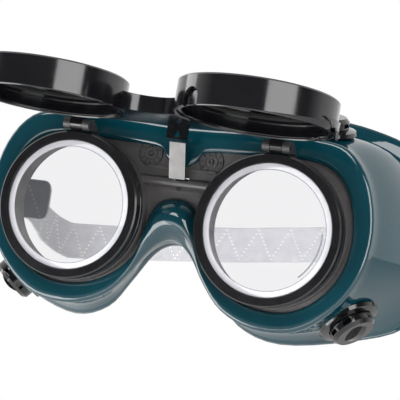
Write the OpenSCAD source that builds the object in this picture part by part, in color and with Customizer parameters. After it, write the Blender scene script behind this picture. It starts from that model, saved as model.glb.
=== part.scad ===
// Flip-front welding goggles: soft moulded mask, black front plate with two
// screw-in clear lenses, hinged flip-up shade unit, four turning vents and an
// elastic headband.
// Units are millimetres. X runs across the face, Y points towards the wearer,
// Z is up. The origin is the wearer's eye line at the middle of the face seat.

/* [Lenses] */
// distance between the two lens centres
lens_pitch = 74.6; // [70:0.2:80]
// diameter of the standard round welding lenses
lens_d = 49.8; // [49:0.1:50]
// thickness of each clear cover lens
clear_t = 2.0; // [1.5:0.1:3]
// thickness of each dark shade lens
shade_t = 3.0; // [2:0.1:3.5]
// diameter seen inside a clear lens retaining ring
clear_view_d = 46; // [42:0.2:48]
// outer diameter of a clear lens retaining ring
ring_d = 52.8; // [52:0.2:56]

/* [Mask] */
// depth of the eye line behind the front face of the clear lenses
seat_y = 30; // [25:1:40]
// depth of the rim's front face behind the clear lenses
rim_y = 8; // [6:0.5:12]
// wall thickness of the soft mask
mask_t = 2.0; // [1.5:0.1:3]
// how far the nose saddle swells forward of the rim
nose_swell = 5; // [0:0.5:7]
// outward bow of the mask's side walls
wall_bow = 2.2; // [0:0.2:5]
// width of the flange that meets the brow and temples
flange_w = 5.2; // [2:0.2:7]
// width of the rolled lip along the cheeks and nose
lip_w = 1.2; // [0.8:0.2:4]

/* [Flip unit] */
// outer diameter of a flip cup
cup_d = 53.8; // [53:0.2:58]
// height of a flip cup's wall
cup_h = 10.8; // [10:0.2:16]
// height of the hinge axis above the lens centres
hinge_z = 29; // [27:0.5:33]
// distance of the hinge axis in front of the clear lenses
hinge_out = 1.2; // [1:0.2:4]
// diameter of the steel hinge pins
pin_d = 2.0; // [1.5:0.1:2.4]
// how far the open unit is lifted above level, degrees
open_lift = 4; // [0:1:15]
// width of the steel detent leaf
leaf_w = 6; // [5:0.5:9]

/* [Vents] */
// diameter of a vent's flange
vent_flange_d = 22.5; // [16:0.5:26]
// diameter of a vent's turning cap
vent_cap_d = 16.4; // [12:0.2:20]
// height of a vent's turning cap without its grip
vent_cap_h = 3.6; // [3:0.2:8]

/* [Headband] */
// width of the elastic band
band_w = 15.6; // [12:0.2:20]
// thickness of the elastic band
band_t = 1.3; // [1:0.1:2.5]

/* [Quality] */
// sub-divisions between two outline points of the mask
steps = 4; // [2:1:6]

/* [Node] */
// node to draw, or all of them

/* [Hidden] */
half_pitch = lens_pitch / 2;
lens_r = lens_d / 2;
view_r = clear_view_d / 2;
ring_r = ring_d / 2;
cup_r = cup_d / 2;
pin_r = pin_d / 2;
// colours
teal = [0.0, 0.25, 0.30];
black = [0.05, 0.05, 0.055];
satin = [0.22, 0.21, 0.215];
steel = [0.72, 0.71, 0.70];
clear = [0.92, 0.94, 0.95, 0.35];
shade = [0.05, 0.14, 0.07, 0.85];
band_grey = [0.62, 0.62, 0.68];
rubber = [0.10, 0.10, 0.10];
// depths along Y of the front plate and what it carries
rim_t = 1.6;
plate_y = rim_y + rim_t + 0.3;
plate_t = 2.5;
plate_lap = 2.5;
collar_r = ring_r + 0.2;
collar_y = rim_y - 2.2;
lip_room = rim_t + 0.6;
lip_foot_z = collar_r - 1.3;
neck_r = lens_r + 0.1;
clear_y = 0.2;
gasket_t = 0.9;
gasket_y = clear_y + clear_t + 0.05;
neck_y = gasket_y + gasket_t + 0.05;
ring_y = -1;
ring_back_y = collar_y - 0.3;
ring_bore_r = lens_r + 0.25;
thread_gap = 0.15;
// the flip unit is drawn as it stands open, its lens axes along Z
ear_gap = 4.6;
barrel_w = 4.2;
ear_t = 2.6;
barrel_r = 2.2;
ear_r = 2.3;
pin_gap = 0.05;
cup_y = -hinge_out - hinge_z;
foot_z = hinge_z + 1.9;
cup_top_z = foot_z + cup_h;
cup_bore_r = cup_r - 1.3;
shade_top_z = cup_top_z - 1.3;
shade_z = shade_top_z - shade_t;
shade_gasket_z = shade_z - 0.8;
sleeve_r = cup_bore_r - 0.15;
sleeve_t = 1.2;
deck_z = foot_z + 0.8;
deck_t = 1.8;
deck_back_y = -2.6;
// curved web that joins the cups
web_r = 13;
web_front_y = -25;
web_h = 5.6;
web_t = 1.8;
// detent block and finger tabs
block_w = 7.2;
block_y = [-0.9, 1.5];
block_z = hinge_z - 1.4;
tab_drop = 1;
scoop_h = 3.4;
// steel leaf
leaf_t = 0.6;
leaf_foot_z = 14;
leaf_tip = [1.8, hinge_z - 2.1];
// vents
vent_hole_r = 7;
vent_flange_t = 1.8;
// strap anchors
anchor_x = 88.5;
anchor_t = 2;
anchor_z = 2.2;
slot_y = [61, 67];
slot_w = 3;
slot_h = band_w + 2.2;

// ---- curves ----

// closed smooth curve through points p, n steps between neighbours
function curve(a, b, c, d, t) =
    0.5 * (2 * b + (c - a) * t + (2 * a - 5 * b + 4 * c - d) * t * t
           + (3 * b - a - 3 * c + d) * t * t * t);
function smooth_loop(p, n) = let (m = len(p))
    [for (i = [0:m - 1], j = [0:n - 1])
        curve(p[(i + m - 1) % m], p[i], p[(i + 1) % m], p[(i + 2) % m], j / n)];
function smooth_path(p, n) = let (m = len(p))
    [for (i = [0:m - 2], j = [0:(i == m - 2 ? n : n - 1)])
        curve(p[max(i - 1, 0)], p[i], p[i + 1], p[min(i + 2, m - 1)], j / n)];
// right half outline, top to bottom, made whole
function whole(h) = concat(h, [for (i = [len(h) - 2:-1:1])
    [for (k = [0:len(h[i]) - 1]) k == 0 ? -h[i][0] : h[i][k]]]);

// mask outlines, right half: the opening, the rim's outer edge and the edge
// that meets the face. They share their point order from the top centre.
open_half = [[0, 18.5], [5.4, 20.6], [9.2, 24.6], [28, 25.5], [44, 26.1],
    [54.5, 23.9], [61.6, 16.6], [65, 3], [63, -11], [55.3, -21.6],
    [44.5, -27.2], [31, -26.7], [19.3, -21], [11.8, -12], [9.6, -1],
    [6.4, 5.2], [0, 7.3]];
rim_half = [[0, 33.4], [8, 33.5], [17, 33.7], [33, 34], [48.5, 33.8],
    [60, 31.2], [68.6, 20.5], [72.3, 4], [69.6, -12], [61.5, -24.7],
    [49.5, -33.3], [34.5, -34.6], [22, -29.8], [14.3, -21.6],
    [9.2, -14], [4.6, -9.4], [0, -7.6]];
face_half = [[0, 25, 38.6], [9, 25.3, 38.9], [20, 26.5, 39.2], [40, 31, 39.4],
    [57, 37.5, 37.7], [71, 45.5, 32.8], [79.5, 52, 20.3], [84.6, 56.5, 5],
    [84.6, 56.5, -12], [77.3, 51, -26.5], [60.8, 38, -33.7], [39.2, 25.5, -37.8],
    [24.7, 20.2, -33.3], [16.4, 18.4, -23], [10.6, 17.7, -14],
    [5.6, 17, -9.4], [0, 16.8, -7.9]];

opening = smooth_loop(whole(open_half), steps);
rim = smooth_loop(whole(rim_half), steps);
face = smooth_loop(whole(face_half), steps);
count = len(rim);

function flat(i) = opening[i % count];
function edge(i) = rim[i % count];
function unit(v) = v / norm(v);
function out(i) = unit(edge(i) - flat(i));
// forward swell of the saddle, strongest on the nose's centre line
function swell(i) = edge(i)[1] < 0
    ? nose_swell * exp(-pow(edge(i)[0] / 9, 2)) : 0;
// a point of the outline i at a share u of the rim's width and a depth y
function rim_pt(i, u, y) = let (p = flat(i) + (edge(i) - flat(i)) * u)
    [p[0], y - (0.35 + swell(i)) * sin(180 * u), p[1]];
// a point moved from p along the rim's outward direction
function shift(i, p, d, dy) = [p[0] + out(i)[0] * d, p[1] + dy, p[2] + out(i)[1] * d];
function edge_pt(i, d, y) = shift(i, [edge(i)[0], y, edge(i)[1]], d, 0);
function flat_pt(i, d, y) = shift(i, [flat(i)[0], y, flat(i)[1]], d, 0);
// the wall bows outward at the brow and temples and inward over the cheeks
function bow(i) = wall_bow * max(-1, min(1, (edge(i)[1] + 16) / 8))
    * min(1, (face[i % count][1] - rim_y) / 28);
// the outer wall from the rim (t = 0) to the face edge (t = 1)
function wall(i, t) = let (a = edge_pt(i, 0, rim_y + 2.6), b = face[i % count])
    shift(i, a + (b - a) * t, bow(i) * sin(180 * t), 0);

// flange width: full along the brow, narrowing to the lip over the cheeks
function flange(i) = lip_w + (flange_w - lip_w)
    * min(1, max(0, (edge(i)[1] + 6) / 22));

wall_ts = [0.07, 0.16, 0.27, 0.39, 0.52, 0.65, 0.78, 0.9, 1];
inner_ts = [0.97, 0.78, 0.56, 0.36, 0.2];
groove_y = plate_y + plate_t + 0.3;
lip_y = groove_y + mask_t;

function shell_section(i) = concat(
    [flat_pt(i, 0, rim_y + 1), flat_pt(i, 0.3, rim_y + 0.3)],
    [for (u = [0.1, 0.2, 0.33, 0.5, 0.67, 0.8, 0.88]) rim_pt(i, u, rim_y)],
    [edge_pt(i, -0.35, rim_y + 0.35), edge_pt(i, 0, rim_y + 1.1),
     edge_pt(i, 0, rim_y + 2.2)],
    [for (t = wall_ts) wall(i, t)],
    let (w = flange(i), b = 0.5 * w) [
     shift(i, wall(i, 1), w * 0.5, b * 0.5), shift(i, wall(i, 1), w - 0.5, b),
     shift(i, wall(i, 1), w, b + 0.8), shift(i, wall(i, 1), w * 0.85, b + 1.5),
     shift(i, wall(i, 1), 0, 2.4),
     shift(i, wall(i, 1), -mask_t * 0.8, 1.6)],
    [for (t = inner_ts) shift(i, wall(i, t), -mask_t, 0.4)],
    [edge_pt(i, -mask_t, max(lip_y + 0.4, rim_y + 3)),
     flat_pt(i, 2.2, lip_y), flat_pt(i, 1.2, lip_y - 0.6),
     flat_pt(i, 1.2, groove_y), flat_pt(i, plate_lap + 0.4, groove_y),
     flat_pt(i, plate_lap + 0.4, rim_y + rim_t), flat_pt(i, 0, rim_y + rim_t)]);

module ring_solid(rows) {
    n = len(rows);
    m = len(rows[0]);
    polyhedron([for (r = rows) for (p = r) p],
        [for (i = [0:n - 1], j = [0:m - 1])
            let (a = i * m + j, b = i * m + (j + 1) % m,
                 c = ((i + 1) % n) * m + (j + 1) % m, d = ((i + 1) % n) * m + j)
            [a, b, c, d]]);
}

// ---- placing ----

module seat() translate([0, -seat_y, 0]) children();
module at_lens(side) translate([side * half_pitch, 0, 0]) children();
// a solid of revolution about a lens axis, profile points given as [radius, y]
module lens_turn(profile) rotate([90, 0, 0]) rotate_extrude($fn = 96)
    polygon([for (p = profile) [p[0], -p[1]]]);
module y_disc(r, y0, y1) translate([0, y1, 0]) rotate([90, 0, 0])
    cylinder(r = r, h = y1 - y0, $fn = 96);
module x_rod(r, x0, x1, y, z) translate([x0, y, z]) rotate([0, 90, 0])
    cylinder(r = r, h = x1 - x0, $fn = 32);
module x_slab(profile, x0, x1) translate([x0, 0, 0]) rotate([90, 0, 90])
    linear_extrude(x1 - x0) polygon(profile);

// vents: outline index, share of the wall's depth, shift along the outline
low_vent = [round(9.25 * steps), 0.42, 0];
top_vent = [round(3.5 * steps), 0.42, 2];
function along(v) = wall(v[0] + 1, v[1]) - wall(v[0] - 1, v[1]);
function wall_normal(v) = let (h = 0.06, b = wall(v[0], v[1] + h) - wall(v[0], v[1] - h))
    unit(cross(along(v), b));
function vent_seat(v) = wall(v[0], v[1]) + v[2] * unit(along(v));
module on_wall(v, side) mirror([side < 0 ? 1 : 0, 0, 0]) {
    n = wall_normal(v);
    translate(vent_seat(v)) rotate([0, acos(n[2]), atan2(n[1], n[0])])
        rotate([0, 0, 90]) children();
}

// ---- soft mask ----

module body_shell() seat() color(teal) difference() {
    ring_solid([for (i = [0:count - 1]) shell_section(i)]);
    for (side = [-1, 1], v = [low_vent, top_vent])
        on_wall(v, side) cylinder(r = vent_hole_r, h = 24, center = true, $fn = 48);
    for (side = [-1, 1])
        x_rod(2.1, side * anchor_x - 12, side * anchor_x + 12, 52, anchor_z);
}

// ---- front plate ----

ear_profile = concat([[collar_y, 20], [collar_y, hinge_z - 1.9], [-0.2, hinge_z - 1.9]],
    [for (a = [-75:-15:-225]) [-hinge_out + ear_r * cos(a), hinge_z + ear_r * sin(a)]],
    [[1.5, 31], [4, 29.6], [7, 27], [7.3, 25.3], [plate_y + 0.5, 25.3],
     [plate_y + 0.5, 20]]);

module hinge_ears(side) difference() {
    union() for (s = [-1, 1])
        x_slab(ear_profile, side * half_pitch + s * (ear_gap + ear_t) / 2 - ear_t / 2,
               side * half_pitch + s * (ear_gap + ear_t) / 2 + ear_t / 2);
    x_rod(pin_r + pin_gap, side * half_pitch - 8, side * half_pitch + 8,
          -hinge_out, hinge_z);
}

// moulded date dial: a raised ring, twelve ticks and an arrow
module dial(x, z, turn) translate([x, plate_y, z]) rotate([90, 0, 0]) {
    difference() {
        cylinder(r = 4.3, h = 0.25, $fn = 64);
        translate([0, 0, -1]) cylinder(r = 4.0, h = 2, $fn = 64);
    }
    difference() {
        cylinder(r = 2.3, h = 0.2, $fn = 48);
        translate([0, 0, -1]) cylinder(r = 2.05, h = 2, $fn = 48);
    }
    for (a = [0:30:330]) rotate([0, 0, a]) translate([2.9, -0.12, 0])
        cube([0.7, 0.24, 0.25]);
    rotate([0, 0, turn]) {
        translate([-1.5, -0.2, 0]) cube([2.4, 0.4, 0.3]);
        linear_extrude(0.3) polygon([[0.6, -0.7], [1.9, 0], [0.6, 0.7]]);
    }
}

module front_plate() seat() color(satin) {
    difference() {
        union() {
            translate([0, plate_y + plate_t, 0]) rotate([90, 0, 0])
                linear_extrude(plate_t)
                    polygon([for (i = [0:count - 1]) flat(i) + out(i) * plate_lap]);
            for (side = [-1, 1]) at_lens(side)
                y_disc(collar_r, collar_y, plate_y + plate_t);
            for (side = [-1, 1]) at_lens(side) y_disc(neck_r, neck_y, collar_y + 1);
            for (side = [-1, 1]) hinge_ears(side);
            // bars across the middle, the thickest one half round
            x_rod(1.7, -16, 16, plate_y - 0.2, 12.8);
            translate([-13, plate_y - 0.6, 17.4]) cube([26, 1, 0.9]);
            translate([-15, plate_y - 0.5, 9.6]) cube([30, 1, 0.8]);
        }
        for (side = [-1, 1]) at_lens(side) y_disc(view_r, -5, plate_y + plate_t + 1);
        // flat above each collar, where the mask's lip passes
        for (side = [-1, 1]) at_lens(side)
            translate([-collar_r / 2, plate_y - lip_room, lip_foot_z])
                cube([collar_r, lip_room, collar_r]);
        // slot that lets the detent leaf through
        translate([-leaf_w / 2 - 0.3, rim_y, leaf_foot_z - 0.4])
            cube([leaf_w + 0.6, 8, leaf_t + 0.8]);
        translate([0, plate_y + plate_t + 1, 11.2]) rotate([90, 0, 0])
            cylinder(r = 1.2, h = plate_t + 2, $fn = 32);
    }
    dial(-12.3, 22.3, 25);
    dial(10.7, 21.6, 100);
}

module clear_gasket(side) seat() color(rubber) at_lens(side)
    lens_turn([[view_r, gasket_y], [lens_r, gasket_y],
               [lens_r, gasket_y + gasket_t], [view_r, gasket_y + gasket_t]]);

module clear_lens(side) seat() color(clear) at_lens(side)
    lens_turn([[0, clear_y], [lens_r - 0.4, clear_y], [lens_r, clear_y + 0.4],
               [lens_r, clear_y + clear_t], [0, clear_y + clear_t]]);

// threaded retaining ring: grooved front face over a smooth skirt
module clear_ring(side) seat() color(black) at_lens(side)
    lens_turn(concat([[view_r, 0.1], [view_r, -0.45], [view_r + 0.35, ring_y]],
        [for (k = [0:2]) each [[view_r + 0.7 + k * 0.75, ring_y],
            [view_r + 0.85 + k * 0.75, ring_y + 0.3],
            [view_r + 1.05 + k * 0.75, ring_y + 0.3],
            [view_r + 1.2 + k * 0.75, ring_y]]],
        [[ring_r - 0.5, ring_y], [ring_r, ring_y + 0.5], [ring_r, 3.2],
         [ring_r - 0.3, 3.5], [ring_r, 3.8], [ring_r, ring_back_y],
         [ring_bore_r, ring_back_y], [ring_bore_r, 0.1]]));

// ---- flip unit, drawn open ----

module at_cup(side) translate([side * half_pitch, cup_y, 0]) children();
module z_turn(profile) rotate_extrude($fn = 96) polygon(profile);
// the open unit stands a little above level
module lifted() translate([0, -hinge_out, hinge_z]) rotate([-open_lift, 0, 0])
    translate([0, hinge_out, -hinge_z]) children();

// flat deck behind the web, carried back to the hinges and the detent block
module deck() {
    translate([-half_pitch, web_front_y - 8, deck_z])
        cube([lens_pitch, deck_back_y - web_front_y + 8, deck_t]);
    translate([-block_w / 2, deck_back_y - 2, deck_z])
        cube([block_w, block_y[1] - deck_back_y + 2, deck_t]);
    translate([-block_w / 2, block_y[0], block_z])
        cube([block_w, block_y[1] - block_y[0], deck_z + deck_t - block_z]);
}

module web_cylinder(r, z0, h) translate([0, web_front_y - web_r, z0])
    cylinder(r = r, h = h, $fn = 96);

module web() intersection() {
    difference() {
        web_cylinder(web_r + web_t, deck_z, web_h);
        web_cylinder(web_r, deck_z - 1, web_h + 2);
    }
    translate([-20, web_front_y - web_r, foot_z]) cube([40, 30, cup_h]);
}

// slanted line where the thumb scoop meets the proud finger tab
tab_edge = [[-9.6, foot_z + scoop_h], [8.7, foot_z - tab_drop]];

// proud finger tab at the outer end of a cup
module finger_tab(side) at_cup(side) intersection() {
    translate([0, 0, foot_z - tab_drop]) difference() {
        cylinder(r = cup_r + 0.8, h = tab_drop + scoop_h + 1, $fn = 96);
        translate([0, 0, -1]) cylinder(r = cup_r - 0.12, h = tab_drop + 8, $fn = 96);
    }
    x_slab(concat(tab_edge, [[10, foot_z - tab_drop], [13, foot_z + 1],
            [9, foot_z + scoop_h + 0.8]]), side > 0 ? 10 : -40, side > 0 ? 40 : -10);
}

// bevelled scoop beside the tab, deepest next to it
module scoop(side) at_cup(side) intersection() {
    translate([0, -24, foot_z]) rotate([7, 0, 0]) translate([0, 24, 0])
        z_turn([[cup_r - 1.1, -3], [cup_r + 4, -3], [cup_r + 4, 3], [cup_r + 0.5, 1.6],
            [cup_r - 1.1, -2]]);
    x_slab([[-24, foot_z - 3], [-24, foot_z + scoop_h], tab_edge[0], tab_edge[1],
            [8.7, foot_z - 3]], side > 0 ? 5 : -40, side > 0 ? 40 : -5);
}

module cup_wall(side) at_cup(side)
    z_turn([[cup_bore_r + 0.25, foot_z], [cup_r - 0.2, foot_z], [cup_r, foot_z + 0.3],
        [cup_r, cup_top_z - 0.6], [cup_r - 0.6, cup_top_z], [view_r + 0.4, cup_top_z],
        [view_r, cup_top_z - 0.4], [view_r, shade_top_z + 0.1],
        [lens_r + 0.2, shade_top_z + 0.1], [lens_r + 0.2, shade_gasket_z],
        [cup_bore_r, shade_gasket_z - 0.3], [cup_bore_r, foot_z + 0.4]]);

module arch(side) at_cup(side) rotate([0, 0, -125]) {
    translate([cup_r - 2, -3.6, foot_z - 1]) cube([4, 7.2, 3.6]);
    translate([cup_r - 2, 0, foot_z + 2.6]) rotate([0, 90, 0])
        cylinder(r = 3.6, h = 4, $fn = 48);
}

module flip_frame() seat() color(black) lifted() difference() {
    union() {
        difference() {
            union() {
                deck();
                web();
            }
            web_cylinder(web_r, deck_z - 1, web_h + 2);
            for (side = [-1, 1]) at_cup(side) translate([0, 0, foot_z - 1])
                cylinder(r = cup_r - 0.6, h = cup_h + 2, $fn = 96);
        }
        for (side = [-1, 1]) {
            cup_wall(side);
            finger_tab(side);
            // hinge barrel and the link that carries it
            x_rod(barrel_r, side * half_pitch - barrel_w / 2,
                  side * half_pitch + barrel_w / 2, -hinge_out, hinge_z);
            translate([side * half_pitch - barrel_w / 2, -hinge_out - 2.6, hinge_z])
                cube([barrel_w, 3.8, deck_z + deck_t - hinge_z]);
        }
    }
    for (side = [-1, 1]) {
        x_rod(pin_r + pin_gap, side * half_pitch - 5, side * half_pitch + 5,
              -hinge_out, hinge_z);
        arch(side);
        scoop(side);
    }
    // small arched hole in the detent block
    translate([0, -2, hinge_z + 0.3]) rotate([-90, 0, 0]) cylinder(r = 1.2, h = 6, $fn = 32);
    translate([-1.2, -2, hinge_z - 0.9]) cube([2.4, 6, 1.2]);
}

module shade_gasket(side) seat() color(rubber) lifted() at_cup(side)
    translate([0, 0, shade_gasket_z]) z_turn([[view_r, 0], [lens_r, 0],
        [lens_r, 0.75], [view_r, 0.75]]);

module shade_lens(side) seat() color(shade) lifted() at_cup(side)
    translate([0, 0, shade_z]) z_turn([[0, 0], [lens_r, 0],
        [lens_r, shade_t - 0.4], [lens_r - 0.4, shade_t], [0, shade_t]]);

// screw-in sleeve that clamps the shade lens, grooved inside for grip
module shade_ring(side) seat() color(black) lifted() at_cup(side)
    z_turn(concat([[sleeve_r, foot_z + 0.6], [sleeve_r, shade_gasket_z - 0.6],
        [sleeve_r - 0.4, shade_gasket_z - 0.1], [view_r, shade_gasket_z - 0.1],
        [view_r, shade_gasket_z - 1], [sleeve_r - sleeve_t, shade_gasket_z - 1.3]],
        [for (k = [3:-1:0]) each [[sleeve_r - sleeve_t, foot_z + 1.25 + k * 0.6],
            [sleeve_r - sleeve_t + 0.3, foot_z + 1.1 + k * 0.6],
            [sleeve_r - sleeve_t, foot_z + 0.95 + k * 0.6]]],
        [[sleeve_r - sleeve_t, foot_z + 0.8], [sleeve_r - sleeve_t + 0.2, foot_z + 0.6]]));

module hinge_pin(side) seat() color(steel)
    x_rod(pin_r, side * half_pitch - ear_gap / 2 - ear_t + 0.2,
          side * half_pitch + ear_gap / 2 + ear_t - 0.2, -hinge_out, hinge_z);

// ---- detent ----

// spring steel leaf: clamped behind the plate, leaning up to the block
module detent_leaf() seat() color(steel)
    x_slab([[plate_y + plate_t + 0.1, 8.5], [plate_y + plate_t + 0.1, leaf_foot_z],
        [6.1, leaf_foot_z], [leaf_tip[0], leaf_tip[1] - 0.4],
        [leaf_tip[0] + 0.1, leaf_tip[1]], [leaf_tip[0] + 0.6, leaf_tip[1]],
        [6.6, leaf_foot_z + leaf_t], [plate_y + plate_t + 0.1 + leaf_t, leaf_foot_z + leaf_t],
        [plate_y + plate_t + 0.1 + leaf_t, 8.5]], -leaf_w / 2, leaf_w / 2);

module leaf_rivet() seat() color(steel)
    translate([0, plate_y, 11.2]) rotate([-90, 0, 0]) {
        cylinder(r = 1.1, h = plate_t + 1, $fn = 32);
        translate([0, 0, plate_t + 0.1 + leaf_t]) cylinder(r = 2, h = 0.9, $fn = 32);
    }

// ---- vents ----

module vent_base(v, side) seat() color(black) on_wall(v, side) difference() {
    z_turn([[4.6, -4], [vent_hole_r - 0.1, -4], [vent_hole_r - 0.1, -0.6],
        [vent_flange_d / 2 - 0.6, -0.6], [vent_flange_d / 2, 0],
        [vent_flange_d / 2 - 0.4, vent_flange_t - 0.5],
        [vent_cap_d / 2 + 0.4, vent_flange_t], [4.6, vent_flange_t]]);
}

module vent_cap(v, side) seat() color(black) on_wall(v, side)
    translate([0, 0, vent_flange_t + 0.3]) {
        r = vent_cap_d / 2;
        difference() {
            union() {
                z_turn([[0, -4.2], [4.5, -4.2], [4.5, 0], [r, 0], [r, vent_cap_h - 1.2],
                    [r - 1.2, vent_cap_h], [0, vent_cap_h]]);
            }
            // side windows
            for (a = [0, 180], b = [-24, 24]) rotate([0, 0, a + b])
                translate([r - 1.6, -1.6, 0.6]) cube([3, 3.2, 1.5]);
            translate([0, 0, -5]) cylinder(r = 3.2, h = 6, $fn = 32);
        }
        // rounded grip bar
        intersection() {
            translate([-1.5, -r, vent_cap_h - 1]) cube([3, 2 * r, 2.4]);
            translate([-5, 0, vent_cap_h + 1.4 - (r - 0.4)]) rotate([0, 90, 0])
                cylinder(r = r - 0.4, h = 10, $fn = 64);
        }
    }

// ---- headband ----

// anchor plate with two slots that the band is laced through
module strap_anchor(side) seat() color(black)
    mirror([side < 0 ? 1 : 0, 0, 0]) difference() {
        union() {
            translate([anchor_x, 47, anchor_z - slot_h / 2 - 1.8])
                cube([anchor_t, 25, slot_h + 3.6]);
            x_rod(4, anchor_x - 2.4, anchor_x + 0.5, 52, anchor_z);
        }
        for (y = slot_y) translate([anchor_x - 1, y - slot_w / 2, anchor_z - slot_h / 2])
            cube([anchor_t + 2, slot_w, slot_h]);
        x_rod(2.1, anchor_x - 6, anchor_x + 4, 52, anchor_z);
        for (s = [-1, 1]) translate([anchor_x - 1, 44, anchor_z + s * (slot_h / 2 + 6)])
            rotate([s * 45, 0, 0]) cube([anchor_t + 2, 8, 8], center = true);
    }

module anchor_rivet(side) seat() color(steel) mirror([side < 0 ? 1 : 0, 0, 0])
    translate([anchor_x, 52, anchor_z]) rotate([0, 90, 0])
        z_turn([[0, -7.6], [3.6, -7.6], [3.6, -6.6], [2, -6.2], [2, anchor_t],
                [3.6, anchor_t + 0.05], [2.6, anchor_t + 1], [0, anchor_t + 1.2]]);

// route of the band's centre line: [x, y, height], wearer's right to left
band_lace = [[-84.5, 60.9], [-88, 61.1], [-90.6, 61.4], [-91.7, 63], [-91.7, 65],
    [-90.6, 66.6], [-88.4, 67], [-87.2, 68.6], [-86.7, 72]];
band_side = [[-87.6, 80], [-91, 94], [-94.6, 110], [-94.5, 128], [-86, 146],
    [-66, 160.5], [-36, 169], [0, 172]];
function tilt_z(x, y) = anchor_z - 1.5 * min(1, max(0, (y - 74) / 60))
    + 0.13 * x * min(1, max(0, (y - 74) / 60));
function flip_x(l) = [for (i = [len(l) - 1:-1:0]) [-l[i][0], l[i][1]]];
band_route = smooth_path(concat([[-72, 60.9], [-78, 60.9]], band_lace, band_side,
    [for (i = [1:len(band_side) - 1]) flip_x(band_side)[i]], flip_x(band_lace),
    [[80, 60.9]]), 3);

module headband() seat() color(band_grey) {
    n = len(band_route);
    rows = [for (i = [0:n - 1])
        let (p = band_route[i],
             d = unit(band_route[min(i + 1, n - 1)] - band_route[max(i - 1, 0)]),
             s = [-d[1], d[0]] * band_t / 2, z = tilt_z(p[0], p[1]))
        [[p[0] + s[0], p[1] + s[1], z - band_w / 2],
         [p[0] - s[0], p[1] - s[1], z - band_w / 2],
         [p[0] - s[0], p[1] - s[1], z + band_w / 2],
         [p[0] + s[0], p[1] + s[1], z + band_w / 2]]];
    polyhedron([for (r = rows) for (p = r) p],
        concat([[3, 2, 1, 0]],
            [for (i = [0:n - 2], j = [0:3])
                [i * 4 + j, i * 4 + (j + 1) % 4, i * 4 + 4 + (j + 1) % 4, i * 4 + 4 + j]],
            [[for (j = [0:3]) (n - 1) * 4 + j]]));
}

// ---- drawing ----

body_shell();
front_plate();
clear_gasket(1);  // clear_gasket_l
clear_gasket(-1);  // clear_gasket_r
clear_lens(1);  // clear_lens_l
clear_lens(-1);  // clear_lens_r
clear_ring(1);  // clear_ring_l
clear_ring(-1);  // clear_ring_r
flip_frame();
hinge_pin(1);  // hinge_pin_l
hinge_pin(-1);  // hinge_pin_r
shade_lens(1);  // shade_lens_l
shade_lens(-1);  // shade_lens_r
shade_gasket(1);  // shade_gasket_l
shade_gasket(-1);  // shade_gasket_r
shade_ring(1);  // shade_ring_l
shade_ring(-1);  // shade_ring_r
detent_leaf();
leaf_rivet();
vent_base(low_vent, 1);  // vent_base_ll
vent_base(low_vent, -1);  // vent_base_lr
vent_base(top_vent, 1);  // vent_base_ul
vent_base(top_vent, -1);  // vent_base_ur
vent_cap(low_vent, 1);  // vent_cap_ll
vent_cap(low_vent, -1);  // vent_cap_lr
vent_cap(top_vent, 1);  // vent_cap_ul
vent_cap(top_vent, -1);  // vent_cap_ur
strap_anchor(1);  // strap_anchor_l
strap_anchor(-1);  // strap_anchor_r
anchor_rivet(1);  // anchor_rivet_l
anchor_rivet(-1);  // anchor_rivet_r
headband();
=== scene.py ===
"""Looks of the flip-front welding goggles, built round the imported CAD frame.

Metres, row frame: +X to the wearer's left, +Y into the face, +Z up. The clear
lenses' centres lie on Z = 0 at X = +-HALF_PITCH.
"""

import math

import bpy
from mathutils import Matrix, Vector


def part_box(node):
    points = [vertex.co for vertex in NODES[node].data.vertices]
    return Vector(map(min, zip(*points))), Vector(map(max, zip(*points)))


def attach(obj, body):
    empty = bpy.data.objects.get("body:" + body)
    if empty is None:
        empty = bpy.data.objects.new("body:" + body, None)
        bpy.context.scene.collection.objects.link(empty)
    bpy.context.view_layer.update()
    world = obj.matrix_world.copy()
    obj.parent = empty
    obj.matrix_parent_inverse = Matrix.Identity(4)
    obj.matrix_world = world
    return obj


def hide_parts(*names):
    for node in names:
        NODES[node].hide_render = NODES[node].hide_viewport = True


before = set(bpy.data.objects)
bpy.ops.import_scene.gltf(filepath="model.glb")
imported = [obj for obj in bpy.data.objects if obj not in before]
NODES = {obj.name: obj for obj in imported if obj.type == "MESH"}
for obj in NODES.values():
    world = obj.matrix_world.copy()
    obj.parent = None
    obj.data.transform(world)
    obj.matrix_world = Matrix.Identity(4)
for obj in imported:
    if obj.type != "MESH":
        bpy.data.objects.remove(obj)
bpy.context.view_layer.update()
MM = 0.001

# ---- camera -------------------------------------------------------------

CAMERA_AT = Vector((0.2067, -0.5858, -0.0175))
CAMERA_AZ, CAMERA_EL, CAMERA_ROLL = (math.radians(a) for a in (19.319, -2.421, 8.034))
CAMERA_LENS_MM = 153.0


def add_camera():
    back = Vector((math.sin(CAMERA_AZ) * math.cos(CAMERA_EL),
                   -math.cos(CAMERA_AZ) * math.cos(CAMERA_EL), math.sin(CAMERA_EL)))
    side = Vector((0, 0, 1)).cross(back).normalized()
    top = back.cross(side)
    c, s = math.cos(CAMERA_ROLL), math.sin(CAMERA_ROLL)
    right, up = side * c + top * s, top * c - side * s
    data = bpy.data.cameras.new("camera")
    data.lens = CAMERA_LENS_MM
    data.sensor_width = 36.0
    data.clip_start, data.clip_end = 0.01, 50.0
    obj = bpy.data.objects.new("camera", data)
    bpy.context.collection.objects.link(obj)
    obj.matrix_world = Matrix(((right.x, up.x, back.x, CAMERA_AT.x),
                               (right.y, up.y, back.y, CAMERA_AT.y),
                               (right.z, up.z, back.z, CAMERA_AT.z), (0, 0, 0, 1)))
    bpy.context.scene.camera = obj


add_camera()
bpy.context.scene.view_settings.view_transform = "Standard"

# ---- materials ----------------------------------------------------------


def new_material(name):
    mat = bpy.data.materials.new(name)
    mat.use_nodes = True
    tree = mat.node_tree
    return mat, tree, tree.nodes["Principled BSDF"]


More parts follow.
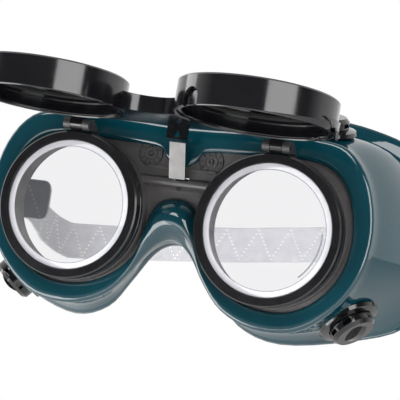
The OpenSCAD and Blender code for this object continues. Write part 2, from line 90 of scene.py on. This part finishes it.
def add(tree, kind, **sockets):
    """A node with constant numbers set on its sockets."""
    node = tree.nodes.new(kind)
    for key, value in sockets.items():
        node.inputs[key.replace("_", " ")].default_value = value
    return node


def object_coords(tree, scale=(1, 1, 1)):
    coords = tree.nodes.new("ShaderNodeTexCoord")
    mapping = add(tree, "ShaderNodeMapping", Scale=scale)
    tree.links.new(coords.outputs["Object"], mapping.inputs["Vector"])
    return mapping.outputs["Vector"]


def noise(tree, scale, detail=3.0, rough=0.5, stretch=(1, 1, 1)):
    node = add(tree, "ShaderNodeTexNoise", Scale=scale, Detail=detail, Roughness=rough)
    tree.links.new(object_coords(tree, stretch), node.inputs["Vector"])
    return node.outputs["Fac"]


def bump(tree, height, distance, strength=1.0, after=None):
    node = add(tree, "ShaderNodeBump", Strength=strength, Distance=distance)
    tree.links.new(height, node.inputs["Height"])
    if after is not None:
        tree.links.new(after, node.inputs["Normal"])
    return node.outputs["Normal"]


def ramp(tree, value, low, high, start=0.35, end=0.65):
    """Maps a 0-1 value between two grey levels."""
    node = add(tree, "ShaderNodeMapRange", From_Min=start, From_Max=end, To_Min=low, To_Max=high)
    tree.links.new(value, node.inputs["Value"])
    return node.outputs["Result"]


def blend_colour(tree, factor, one, two):
    node = tree.nodes.new("ShaderNodeMix")
    node.data_type = "RGBA"
    node.inputs[6].default_value = (*one, 1)
    node.inputs[7].default_value = (*two, 1)
    tree.links.new(factor, node.inputs[0])
    return node.outputs[2]


def moulded(name, colour, wear, rough, grain=0.0, grain_scale=2600, wave=0.0, wave_scale=60,
            specular=0.5, coat=0.0, metallic=0.0, stretch=(1, 1, 1)):
    """A moulded or rolled surface: colour drift, grain, long waves and uneven gloss."""
    mat, tree, shader = new_material(name)
    link = tree.links.new
    link(blend_colour(tree, ramp(tree, noise(tree, 45), 0, 1), colour, wear),
         shader.inputs["Base Color"])
    link(ramp(tree, noise(tree, 150, 5, 0.65), rough * 0.8, rough * 1.25),
         shader.inputs["Roughness"])
    normal = None
    if wave:
        normal = bump(tree, noise(tree, wave_scale, 1), wave)
    if grain:
        normal = bump(tree, noise(tree, grain_scale, 2, 0.6, stretch), grain, 1.0, normal)
    if normal is not None:
        link(normal, shader.inputs["Normal"])
    shader.inputs["Specular IOR Level"].default_value = specular
    shader.inputs["Coat Weight"].default_value = coat
    shader.inputs["Coat Roughness"].default_value = 0.05
    shader.inputs["Metallic"].default_value = metallic
    return mat


def darken_above(mat, low, high, colour):
    """Paints shade: fades a material to a darker colour between two heights of its object."""
    tree = mat.node_tree
    base = tree.nodes["Principled BSDF"].inputs["Base Color"]
    plain = base.links[0].from_socket
    split = tree.nodes.new("ShaderNodeSeparateXYZ")
    tree.links.new(object_coords(tree), split.inputs[0])
    mask = add(tree, "ShaderNodeMapRange", From_Min=low, From_Max=high)
    tree.links.new(split.outputs["Z"], mask.inputs["Value"])
    mix = tree.nodes.new("ShaderNodeMix")
    mix.data_type = "RGBA"
    mix.inputs[7].default_value = (*colour, 1)
    tree.links.new(mask.outputs["Result"], mix.inputs[0])
    tree.links.new(plain, mix.inputs[6])
    tree.links.new(mix.outputs[2], base)


PVC = moulded("teal_pvc", (0.0010, 0.022, 0.031), (0.0014, 0.027, 0.037), 0.05,
              grain=0.000003, grain_scale=1400, wave=0.00025, wave_scale=30, specular=0.55,
              coat=0.12)
PLATE = moulded("satin_plate", (0.042, 0.039, 0.040), (0.054, 0.051, 0.052), 0.38,
                grain=0.00006, grain_scale=3800, specular=0.6)
# painted shade on the hinge ears: the plate's colour darkens above these heights
EAR_SHADE_FROM, EAR_SHADE_TO = 25.8 * MM, 26.4 * MM
darken_above(PLATE, EAR_SHADE_FROM, EAR_SHADE_TO, (0.012, 0.012, 0.012))
RING = moulded("ring_black", (0.006, 0.006, 0.007), (0.009, 0.009, 0.010), 0.20,
               grain=0.000002, grain_scale=2600)
FLIP = moulded("flip_black", (0.003, 0.003, 0.004), (0.004, 0.004, 0.005), 0.13,
               grain=0.0000012, grain_scale=2200, wave=0.00004, wave_scale=60)
VENT = moulded("vent_black", (0.002, 0.002, 0.0025), (0.004, 0.004, 0.0045), 0.07,
               grain=0.000006, grain_scale=3000)
RUBBER = moulded("gasket_rubber", (0.010, 0.010, 0.010), (0.016, 0.016, 0.015), 0.7,
                 grain=0.00006, grain_scale=3000, specular=0.3)
STEEL = moulded("rolled_steel", (0.12, 0.119, 0.117), (0.085, 0.084, 0.082), 0.32,
                grain=0.00003, grain_scale=900, metallic=1.0, stretch=(9, 1, 0.25))
DIAL = moulded("dial_black", (0.003, 0.003, 0.003), (0.006, 0.006, 0.006), 0.3,
               grain=0.00001, grain_scale=3000)


def glass(name, tint, rough, scratches, ior=1.49, coat=0.0, alpha=1.0):
    """Polished glass; alpha under 1 also lets the lights shine straight through."""
    mat, tree, shader = new_material(name)
    tree.links.new(bump(tree, noise(tree, 3000, 2, 0.5, (1, 1, 0.2)), scratches),
                   shader.inputs["Normal"])
    shader.inputs["Base Color"].default_value = (*tint, 1)
    shader.inputs["Roughness"].default_value = rough
    shader.inputs["IOR"].default_value = ior
    shader.inputs["Coat Weight"].default_value = coat
    shader.inputs["Transmission Weight"].default_value = 1.0
    shader.inputs["Alpha"].default_value = alpha
    return mat


CLEAR = glass("clear_lens", (0.56, 0.56, 0.60), 0.0, 0.000001, ior=1.01, coat=0.5,
              alpha=0.25)
SHADE = glass("shade_lens", (0.003, 0.010, 0.005), 0.02, 0.000002)

# material of each CAD node, by the stem of its name
MATERIAL_OF = {
    "body_shell": PVC, "front_plate": PLATE, "clear_gasket": RUBBER, "clear_lens": CLEAR,
    "clear_ring": RING, "flip_frame": FLIP, "hinge_pin": STEEL, "shade_lens": SHADE,
    "shade_gasket": RUBBER, "shade_ring": FLIP, "detent_leaf": STEEL, "leaf_rivet": STEEL,
    "vent_base": VENT, "vent_cap": VENT, "strap_anchor": VENT, "anchor_rivet": STEEL,
}


def smooth_group(angle_deg):
    """Geometry nodes that weld a CAD mesh and shade it smooth below an edge angle."""
    group = bpy.data.node_groups.new("smooth_%d" % angle_deg, "GeometryNodeTree")
    for way in ("INPUT", "OUTPUT"):
        group.interface.new_socket("Geometry", in_out=way, socket_type="NodeSocketGeometry")
    node = group.nodes.new
    start, end = node("NodeGroupInput"), node("NodeGroupOutput")
    strip = node("GeometryNodeRemoveAttribute")
    strip.inputs["Name"].default_value = "custom_normal"
    weld = node("GeometryNodeMergeByDistance")
    weld.inputs["Distance"].default_value = 0.000002
    edge = node("GeometryNodeInputMeshEdgeAngle")
    over = node("FunctionNodeCompare")
    over.data_type, over.operation = "FLOAT", "GREATER_THAN"
    over.inputs[1].default_value = math.radians(angle_deg)
    faces, edges = node("GeometryNodeSetShadeSmooth"), node("GeometryNodeSetShadeSmooth")
    faces.domain, edges.domain = "FACE", "EDGE"
    faces.inputs["Shade Smooth"].default_value = True
    edges.inputs["Shade Smooth"].default_value = False
    link = group.links.new
    link(start.outputs[0], strip.inputs["Geometry"])
    link(strip.outputs["Geometry"], weld.inputs["Geometry"])
    link(weld.outputs["Geometry"], faces.inputs["Geometry"])
    link(faces.outputs["Geometry"], edges.inputs["Geometry"])
    link(edge.outputs["Unsigned Angle"], over.inputs[0])
    link(over.outputs["Result"], edges.inputs["Selection"])
    link(edges.outputs["Geometry"], end.inputs[0])
    return group


SHELL_SMOOTH = smooth_group(55)


def dress_nodes():
    """Gives each CAD node its material; the faceted shell is also smoothed."""
    for name, obj in NODES.items():
        stem = name
        while stem and stem not in MATERIAL_OF:
            stem = stem.rpartition("_")[0]
        if not stem:
            continue
        for slot in obj.material_slots:
            slot.material = MATERIAL_OF[stem]
        if stem == "body_shell":
            obj.modifiers.new("smooth", "NODES").node_group = SHELL_SMOOTH


dress_nodes()

# ---- helpers for new pieces ---------------------------------------------


def mesh_piece(name, verts, faces, material, body, smooth=True, uvs=None):
    mesh = bpy.data.meshes.new(name)
    mesh.from_pydata(verts, [], faces)
    mesh.materials.append(material)
    if smooth:
        mesh.shade_smooth()
    if uvs is not None:
        layer = mesh.uv_layers.new(name="UVMap")
        for loop in mesh.loops:
            layer.data[loop.index].uv = uvs[loop.vertex_index]
    obj = bpy.data.objects.new(name, mesh)
    bpy.context.collection.objects.link(obj)
    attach(obj, body)
    return obj


# ---- headband -----------------------------------------------------------

# width and thickness of the webbing
BAND_W, BAND_T = 15.6 * MM, 1.3 * MM
# the eye line stands this far behind the clear lenses
SEAT_Y = 30 * MM
# plan points of the centre line in mm behind the lenses' front:
# the free tail, the loop through the slotted anchor, then the side to mid-back
TAIL = [(-72, 60.9), (-78, 60.9)]
LACE = [(-84.5, 60.9), (-88, 61.1), (-90.6, 61.4), (-91.7, 63), (-91.7, 65),
        (-90.6, 66.6), (-88.4, 67), (-87.2, 68.6), (-86.7, 72)]
SIDE = [(-87.6, 80), (-91, 94), (-94.6, 110), (-94.5, 128), (-86, 146),
        (-66, 160.5), (-36, 169), (0, 172)]
# height at the anchors, drop and tilt towards the back
ANCHOR_Z, SAG, TILT = 2.2, 1.5, 0.13
# the band leaves the anchors level and takes its tilt between these depths
LEVEL_Y, TILTED_Y = 74, 134
CURVE_STEPS = 24


def spline(points, steps):
    """Catmull-Rom curve through the points, as the CAD band's centre line."""
    out = []
    last = len(points) - 1
    for i in range(last):
        a, b, c, d = (points[max(i - 1, 0)], points[i], points[i + 1],
                      points[min(i + 2, last)])
        for j in range(steps + (i == last - 1)):
            t = j / steps
            out.append([0.5 * (2 * b[k] + (c[k] - a[k]) * t
                               + (2 * a[k] - 5 * b[k] + 4 * c[k] - d[k]) * t * t
                               + (3 * b[k] - a[k] - 3 * c[k] + d[k]) * t ** 3)
                        for k in (0, 1)])
    return out


def band_line():
    """Points of the centre line in metres, with the running length at each."""
    mirrored = [(-x, y) for x, y in reversed(SIDE[:-1])]
    lace_l = [(-x, y) for x, y in reversed(LACE)]
    flat = spline(TAIL + LACE + SIDE + mirrored + lace_l + [(80, 60.9)], CURVE_STEPS)
    points = []
    for x, y in flat:
        share = min(1, max(0, (y - LEVEL_Y) / (TILTED_Y - LEVEL_Y)))
        z = ANCHOR_Z - SAG * share + TILT * x * share
        points.append(Vector((x * MM, y * MM - SEAT_Y, z * MM)))
    run = [0.0]
    for a, b in zip(points, points[1:]):
        run.append(run[-1] + (b - a).length)
    return points, run


BAND_POINTS, BAND_RUN = band_line()
BAND_LENGTH = BAND_RUN[-1]


def band_at(s):
    """Point, direction, outward and upward vectors of the band at length s."""
    s = min(max(s, 0.0), BAND_LENGTH)
    lo, hi = 0, len(BAND_RUN) - 1
    while hi - lo > 1:
        mid = (lo + hi) // 2
        lo, hi = (mid, hi) if BAND_RUN[mid] <= s else (lo, mid)
    t = (s - BAND_RUN[lo]) / max(BAND_RUN[hi] - BAND_RUN[lo], 1e-9)
    point = BAND_POINTS[lo].lerp(BAND_POINTS[hi], t)
    a, b = BAND_POINTS[max(lo - 2, 0)], BAND_POINTS[min(hi + 2, len(BAND_POINTS) - 1)]
    along = (b - a).normalized()
    out = Vector((-along.y, along.x, 0)).normalized()
    return point, along, out, Vector((0, 0, 1))


def webbing_material():
    mat, tree, shader = new_material("woven_elastic")
    link = tree.links.new
    uv = tree.nodes.new("ShaderNodeTexCoord").outputs["UV"]

    def ribs(direction, scale, distortion):
        wave = add(tree, "ShaderNodeTexWave", Scale=scale, Distortion=distortion)
        wave.bands_direction = direction
        link(uv, wave.inputs["Vector"])
        return wave.outputs["Fac"]

    warp = ribs("Y", 330, 0.8)
    weft = ribs("X", 300, 1.2)
    mix = add(tree, "ShaderNodeMath")
    mix.operation = "MULTIPLY"
    link(warp, mix.inputs[0])
    link(weft, mix.inputs[1])
    dirt = ramp(tree, noise(tree, 260, 4), 0, 1, 0.3, 0.7)
    tone = blend_colour(tree, dirt, (0.34, 0.34, 0.36), (0.39, 0.39, 0.405))
    shaded = tree.nodes.new("ShaderNodeMix")
    shaded.data_type, shaded.blend_type = "RGBA", "MULTIPLY"
    shaded.inputs[0].default_value = 0.12
    link(tone, shaded.inputs[6])
    link(ramp(tree, mix.outputs[0], 0.35, 1.0, 0.0, 0.6), shaded.inputs[7])
    link(shaded.outputs[2], shader.inputs["Base Color"])
    first = bump(tree, mix.outputs[0], 0.00005)
    link(bump(tree, noise(tree, 2400, 3, 0.7), 0.00008, 1.0, first), shader.inputs["Normal"])
    shader.inputs["Roughness"].default_value = 0.85
    shader.inputs["Sheen Weight"].default_value = 0.35
    shader.inputs["Sheen Roughness"].default_value = 0.4
    return mat


THREAD = moulded("stitch_thread", (0.72, 0.71, 0.66), (0.64, 0.63, 0.58), 0.6,
                 grain=0.00005, grain_scale=5000, specular=0.3)


def build_band():
    rows = 620
    edge = 6
    across = 12
    corner = 3.2 * MM
    half_w, half_t = BAND_W / 2, BAND_T / 2
    # half of the cross-section: a rounded selvedge, a flat face and the other selvedge
    profile = []
    for k in range(edge + 1):
        a = math.pi / 2 * k / edge
        profile.append((half_w - half_t + half_t * math.cos(a), half_t * math.sin(a)))
    for k in range(1, across):
        profile.append(((half_w - half_t) * (1 - 2 * k / across), half_t * 0.97))
    for k in range(edge, -1, -1):
        a = math.pi / 2 * k / edge
        profile.append((-half_w + half_t - half_t * math.cos(a), half_t * math.sin(a)))
    for w, t in profile[-2:0:-1]:
        profile.append((w, -t))
    verts, uvs, faces = [], [], []
    n = len(profile)
    for i in range(rows + 1):
        s = BAND_LENGTH * i / rows
        point, _, out, up = band_at(s)
        near = min(s, BAND_LENGTH - s)
        cut = 0.0
        if near < corner:
            cut = corner - math.sqrt(max(corner ** 2 - (corner - near) ** 2, 0))
        scale = (half_w - cut) / half_w
        # the weave never lies dead flat: a slow ripple in height and depth
        drift = 0.12 * MM * math.sin(s * 96) + 0.08 * MM * math.sin(s * 231 + 1.3)
        for w, t in profile:
            verts.append(point + up * (w * scale + drift) + out * (t + drift * 0.4))
            uvs.append((s, w))
    for i in range(rows):
        for j in range(n):
            a, b = i * n + j, i * n + (j + 1) % n
            faces.append((a, b, b + n, a + n))
    faces.append(tuple(range(n - 1, -1, -1)))
    faces.append(tuple(rows * n + j for j in range(n)))
    band = mesh_piece("elastic_band", verts, faces, webbing_material(), "mask",
                      uvs=uvs)
    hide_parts("headband")


def capsule(centre, along, up, length, radius, verts, faces, sides=6, rings=4):
    """A rounded thread bump lying on the band."""
    start = len(verts)
    normal = along.cross(up)
    for i in range(rings + 1):
        a = math.pi * i / rings
        x, r = -math.cos(a) * length / 2, max(math.sin(a), 0.05) * radius
        for j in range(sides):
            b = 2 * math.pi * j / sides
            verts.append(centre + along * x + up * (r * math.cos(b)) + normal * (r * math.sin(b)))
    for i in range(rings):
        for j in range(sides):
            a, b = start + i * sides + j, start + i * sides + (j + 1) % sides
            faces.append((a, b, b + sides, a + sides))
    faces.append(tuple(start + j for j in range(sides - 1, -1, -1)))
    faces.append(tuple(start + rings * sides + j for j in range(sides)))


def build_stitches():
    """Pale zigzag stitching, a row of thread bumps on both faces of the band."""
    period, dots = 14.6 * MM, 8
    reach = BAND_W / 2 - 1.3 * MM
    verts, faces = [], []
    step = period / 2 / dots
    margin = 3 * MM
    count = int((BAND_LENGTH - 2 * margin) / step)
    for k in range(count):
        s = margin + k * step
        phase = (k / dots) % 2
        w = reach * (1 - 2 * abs(phase - 1))
        point, along, out, up = band_at(s)
        rise = 1 if phase < 1 else -1
        lean = (along * step + up * rise * (2 * reach / dots)).normalized()
        for face in (-1, 1):
            capsule(point + up * w + out * face * (BAND_T / 2 - 0.05 * MM), lean, out,
                    0.95 * MM, 0.27 * MM, verts, faces)
    mesh_piece("band_stitches", verts, faces, THREAD, "mask")


build_band()
build_stitches()

# ---- marks moulded on the lenses and the plate --------------------------

HALF_PITCH = 37.3 * MM
VIEW_R = 23 * MM
LINE_R = 0.91 * VIEW_R
LENS_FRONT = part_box("clear_lens_l")[0].y
# the marks sit in the lens's front face, the margin just before it
MARK_Y = LENS_FRONT + 0.06 * MM
MARGIN_Y = LENS_FRONT - 0.02 * MM
# the plate's front face behind the lenses, and the dials raised on it
PLATE_Y = -SEAT_Y + 9.9 * MM
DIAL_Y = PLATE_Y - 0.1 * MM


def lens_mark_material():
    mat, tree, shader = new_material("lens_mark")
    shader.inputs["Base Color"].default_value = (0.20, 0.20, 0.23, 1)
    shader.inputs["Roughness"].default_value = 0.25
    shader.inputs["Alpha"].default_value = 0.75
    tree.links.new(bump(tree, noise(tree, 3000, 2), 0.00002), shader.inputs["Normal"])
    return mat


def arc_tube(x, y, z, radius, start, end, thick, verts, faces, sides=6):
    """A thin tube along an arc in an XZ plane, angles in degrees."""
    closed = abs(end - start) >= 360
    rows = max(8, int(abs(end - start) / 4))
    first = len(verts)
    for i in range(rows + (not closed)):
        a = math.radians(start + (end - start) * i / rows)
        for j in range(sides):
            b = 2 * math.pi * j / sides
            r = radius + thick * math.cos(b)
            verts.append((x + r * math.cos(a), y + thick * math.sin(b), z + r * math.sin(a)))
    total = rows if closed else rows + 1
    for i in range(rows):
        for j in range(sides):
            a, b = first + i * sides, first + ((i + 1) % total) * sides
            faces.append((a + j, a + (j + 1) % sides, b + (j + 1) % sides, b + j))


def build_lens_margins():
    """The pale ground margin between the lens's inner circle and its ring."""
    mat, tree, shader = new_material("lens_margin")
    tint = blend_colour(tree, ramp(tree, noise(tree, 60), 0, 1), (0.62, 0.62, 0.65),
                        (0.52, 0.52, 0.56))
    tree.links.new(tint, shader.inputs["Base Color"])
    tree.links.new(bump(tree, noise(tree, 3000, 2), 0.00001), shader.inputs["Normal"])
    shader.inputs["Roughness"].default_value = 0.4
    shader.inputs["Alpha"].default_value = 0.55
    verts, faces = [], []
    steps = 96
    for side in (-1, 1):
        first = len(verts)
        for i in range(steps):
            a = 2 * math.pi * i / steps
            for r in (LINE_R, VIEW_R):
                verts.append((side * HALF_PITCH + r * math.cos(a), MARGIN_Y,
                              r * math.sin(a)))
        for i in range(steps):
            a, b = first + 2 * i, first + 2 * ((i + 1) % steps)
            faces.append((a, a + 1, b + 1, b))
    mesh_piece("lens_margins", verts, faces, mat, "mask", smooth=False)


def build_lens_marks():
    """A thin circle and two small ones on each lens, and an arc on the left one."""
    verts, faces = [], []
    for side in (-1, 1):
        arc_tube(side * HALF_PITCH, MARK_Y, 0, LINE_R, 0, 360, 0.14 * MM, verts, faces)
    # side of the object, angle in degrees and distance of each small circle
    spots = [(-1, 62, 21.9 * MM), (-1, 232, 21.9 * MM), (1, 100, 22.0 * MM),
             (1, -60, 22.0 * MM)]
    for side, angle, dist in spots:
        a = math.radians(angle)
        arc_tube(side * HALF_PITCH + dist * math.cos(a), MARK_Y, dist * math.sin(a),
                 0.95 * MM, 0, 360, 0.07 * MM, verts, faces)
    arc_tube(HALF_PITCH, MARK_Y, 0, 19.6 * MM, -48, 4, 0.25 * MM, verts, faces)
    mesh_piece("lens_marks", verts, faces, lens_mark_material(), "mask")


build_lens_margins()
build_lens_marks()


def dial_digits(name, x, z, labels, size, turn=-90, radius=3.45 * MM):
    """Raised numbers and rings on a moulded dial."""
    objects = []
    for k, label in enumerate(labels):
        a = math.radians(turn - k * 360 / len(labels))
        data = bpy.data.curves.new(name, "FONT")
        data.body = label
        data.size = size
        data.extrude = 0.09 * MM
        data.align_x = data.align_y = "CENTER"
        obj = bpy.data.objects.new(name, data)
        bpy.context.collection.objects.link(obj)
        at = Vector((x + radius * math.sin(-a), DIAL_Y, z + radius * math.cos(a)))
        obj.matrix_world = (Matrix.Translation(at) @ Matrix.Rotation(math.pi / 2, 4, "X")
                            @ Matrix.Rotation(a, 4, "Z"))
        objects.append(obj)
    verts, faces = [], []
    graph = bpy.context.evaluated_depsgraph_get()
    for obj in objects:
        mesh = bpy.data.meshes.new_from_object(obj.evaluated_get(graph))
        start = len(verts)
        verts += [obj.matrix_world @ v.co for v in mesh.vertices]
        faces += [tuple(start + i for i in p.vertices) for p in mesh.polygons]
        bpy.data.objects.remove(obj)
    mesh_piece(name, verts, faces, DIAL, "mask", smooth=False)
    verts, faces = [], []
    for ring, thick in ((4.5 * MM, 0.16 * MM), (2.4 * MM, 0.12 * MM), (0.8 * MM, 0.3 * MM)):
        arc_tube(x, DIAL_Y, z, ring, 0, 360, thick, verts, faces)
    mesh_piece(name.replace("digits", "rings"), verts, faces, DIAL, "mask")


dial_digits("dial_digits_r", -12.3 * MM, 22.3 * MM, [str(k) for k in range(1, 13)],
            1.3 * MM)
dial_digits("dial_digits_l", 10.7 * MM, 21.6 * MM, [str(k) for k in range(10)], 1.5 * MM)

# ---- floor, world and lights --------------------------------------------


def flat_material(name, colour, rough=0.9):
    mat, tree, shader = new_material(name)
    shader.inputs["Base Color"].default_value = (*colour, 1)
    shader.inputs["Roughness"].default_value = rough
    tree.links.new(bump(tree, noise(tree, 40, 3), 0.0003), shader.inputs["Normal"])
    return mat


def build_floor():
    """Pale floor well below the goggles, which are held at a head's height."""
    half, z = 2.5, -0.42
    mesh = bpy.data.meshes.new("floor")
    mesh.from_pydata([(-half, -half, z), (half, -half, z), (half, half, z), (-half, half, z)],
                     [], [(0, 1, 2, 3)])
    mesh.materials.append(flat_material("floor_pale", (0.74, 0.74, 0.74)))
    obj = bpy.data.objects.new("floor", mesh)
    bpy.context.collection.objects.link(obj)


def build_world():
    """White behind and beside the object, dim in front; seen directly it is plain white."""
    world = bpy.data.worlds.new("studio")
    world.use_nodes = True
    bpy.context.scene.world = world
    tree = world.node_tree
    background = tree.nodes["Background"]
    coords = tree.nodes.new("ShaderNodeTexCoord")
    dot = add(tree, "ShaderNodeVectorMath")
    dot.operation = "DOT_PRODUCT"
    dot.inputs[1].default_value = (0.33, -0.94, -0.04)
    tree.links.new(coords.outputs["Generated"], dot.inputs[0])
    level = add(tree, "ShaderNodeMapRange", From_Min=-0.15, From_Max=0.3, To_Min=1.2,
                To_Max=0.12)
    tree.links.new(dot.outputs["Value"], level.inputs["Value"])
    path = tree.nodes.new("ShaderNodeLightPath")
    seen = tree.nodes.new("ShaderNodeMath")
    seen.operation = "MAXIMUM"
    tree.links.new(path.outputs["Is Camera Ray"], seen.inputs[0])
    tree.links.new(path.outputs["Is Transmission Ray"], seen.inputs[1])
    pick = tree.nodes.new("ShaderNodeMix")
    pick.inputs[3].default_value = 1.0
    tree.links.new(seen.outputs[0], pick.inputs[0])
    tree.links.new(level.outputs["Result"], pick.inputs[2])
    tree.links.new(pick.outputs[0], background.inputs["Strength"])
    background.inputs["Color"].default_value = (1, 1, 1, 1)


def area_light(name, azimuth, elevation, distance, width, height, power):
    """A softbox that faces the object, azimuth from -Y towards +X."""
    a, e = math.radians(azimuth), math.radians(elevation)
    away = Vector((math.sin(a) * math.cos(e), -math.cos(a) * math.cos(e), math.sin(e)))
    data = bpy.data.lights.new(name, "AREA")
    data.shape = "RECTANGLE"
    data.size, data.size_y, data.energy = width, height, power
    obj = bpy.data.objects.new(name, data)
    bpy.context.collection.objects.link(obj)
    obj.location = away * distance
    obj.rotation_euler = away.to_track_quat("Z", "Y").to_euler()
    obj.visible_camera = False


build_floor()
build_world()
area_light("softbox_right", 49, 8, 1.6, 1.15, 1.3, 33)
area_light("softbox_left", -92, 0, 1.6, 0.7, 1.5, 13)
area_light("softbox_top", -12, 42, 1.6, 1.5, 0.7, 25)
area_light("softbox_low", -48, -34, 0.62, 0.5, 0.42, 4.5)
area_light("fill_nose", -10, -26, 0.8, 0.5, 0.2, 1.0)
